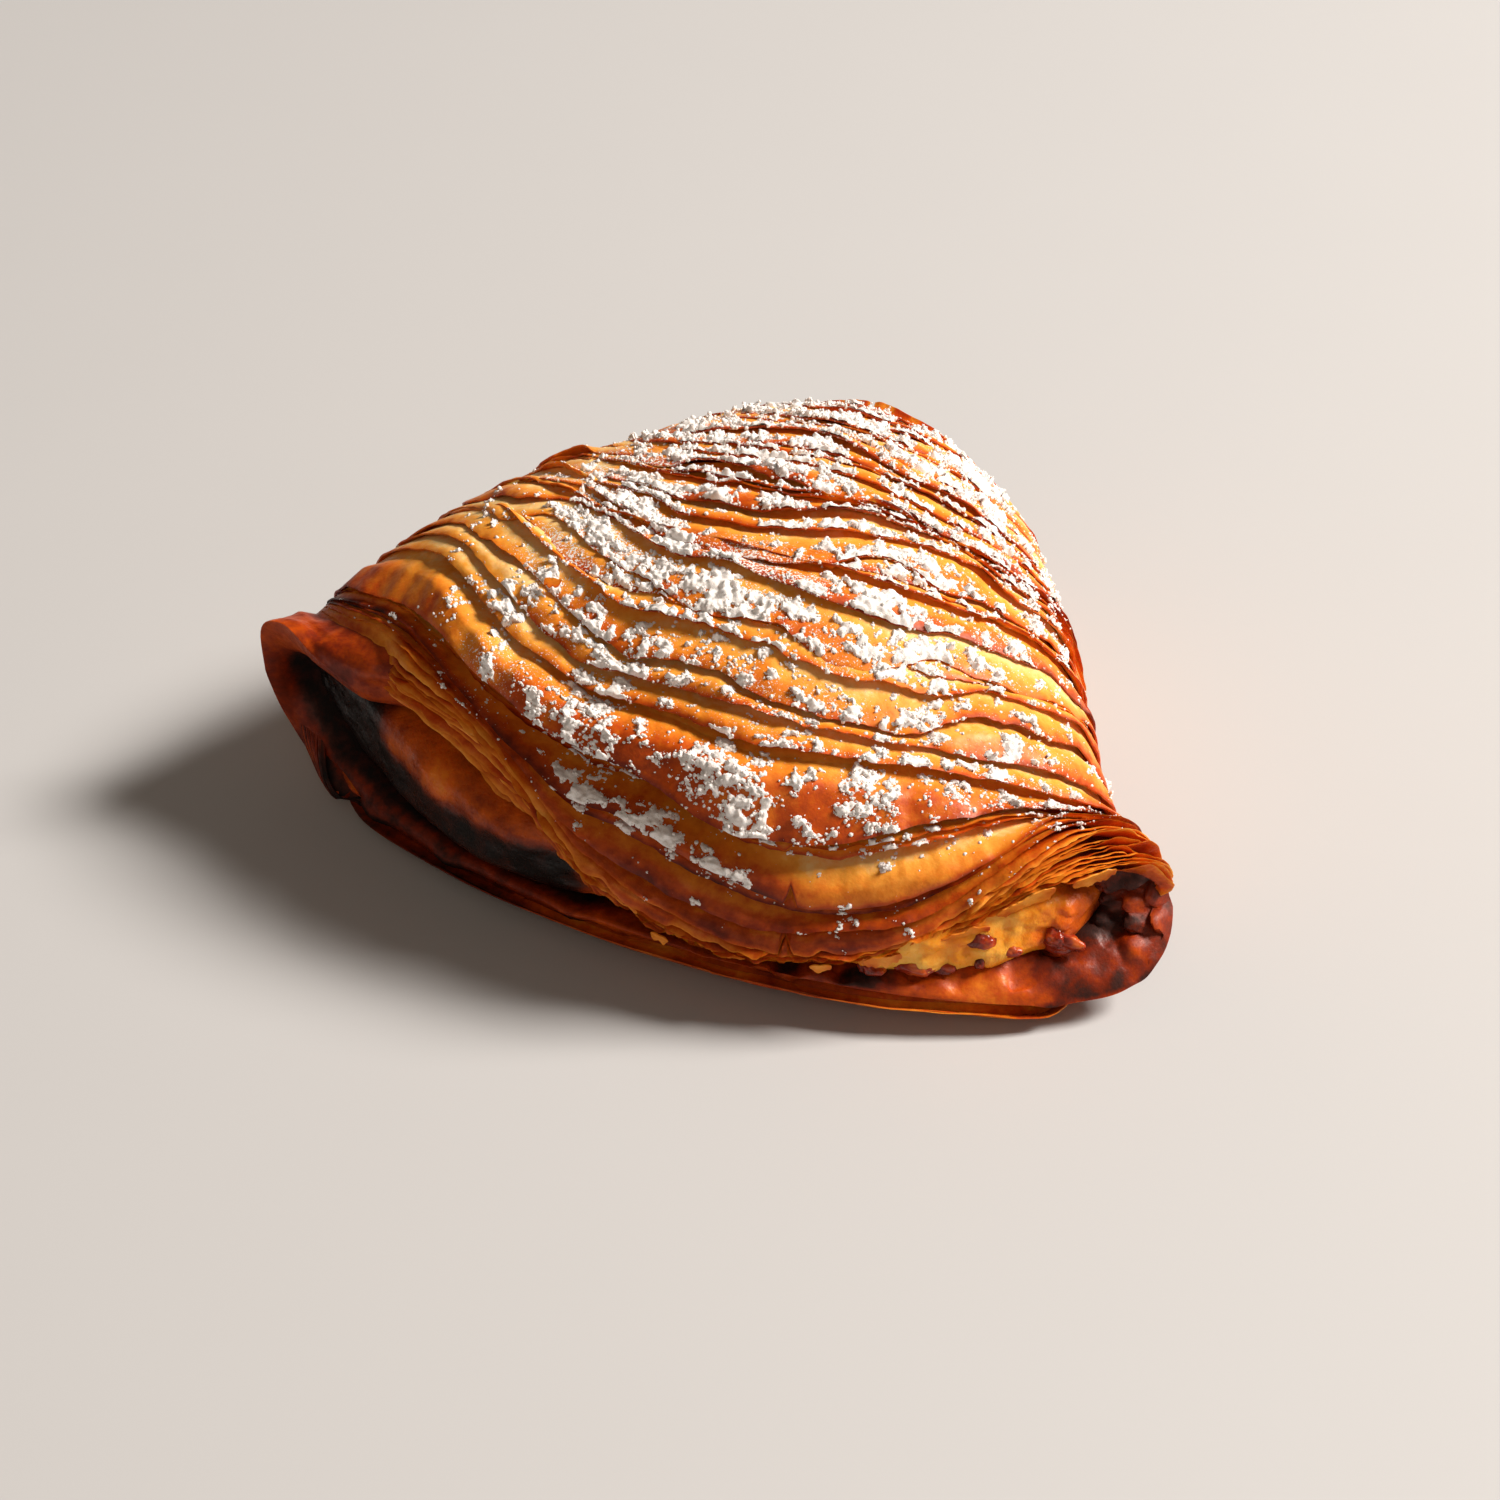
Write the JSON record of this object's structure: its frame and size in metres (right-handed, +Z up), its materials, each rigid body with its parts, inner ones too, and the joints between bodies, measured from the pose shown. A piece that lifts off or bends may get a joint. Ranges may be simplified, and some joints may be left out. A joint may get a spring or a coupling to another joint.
{
  "type": "sfogliatella",
  "caption": "Shell-shaped pastry of thin overlapping crisp leaves around a soft filling, lying flat with its mouth open to the front.",
  "frame": {"origin": "middle of the box around the pastry, on the surface that it lies on", "axes": "+Z up, the mouth of the pastry faces -Y, and its two open corners lie along X, the lower and more turned-in one at +X"},
  "size_m": [0.1147, 0.0888, 0.0442],
  "materials": {
    "crust": "crisp baked leaves, satin",
    "filling": "moist, slightly grainy"
  },
  "bodies": {
    "root": {"pastry_shell": "crust", "filling": "filling"}
  },
  "joints": []
}
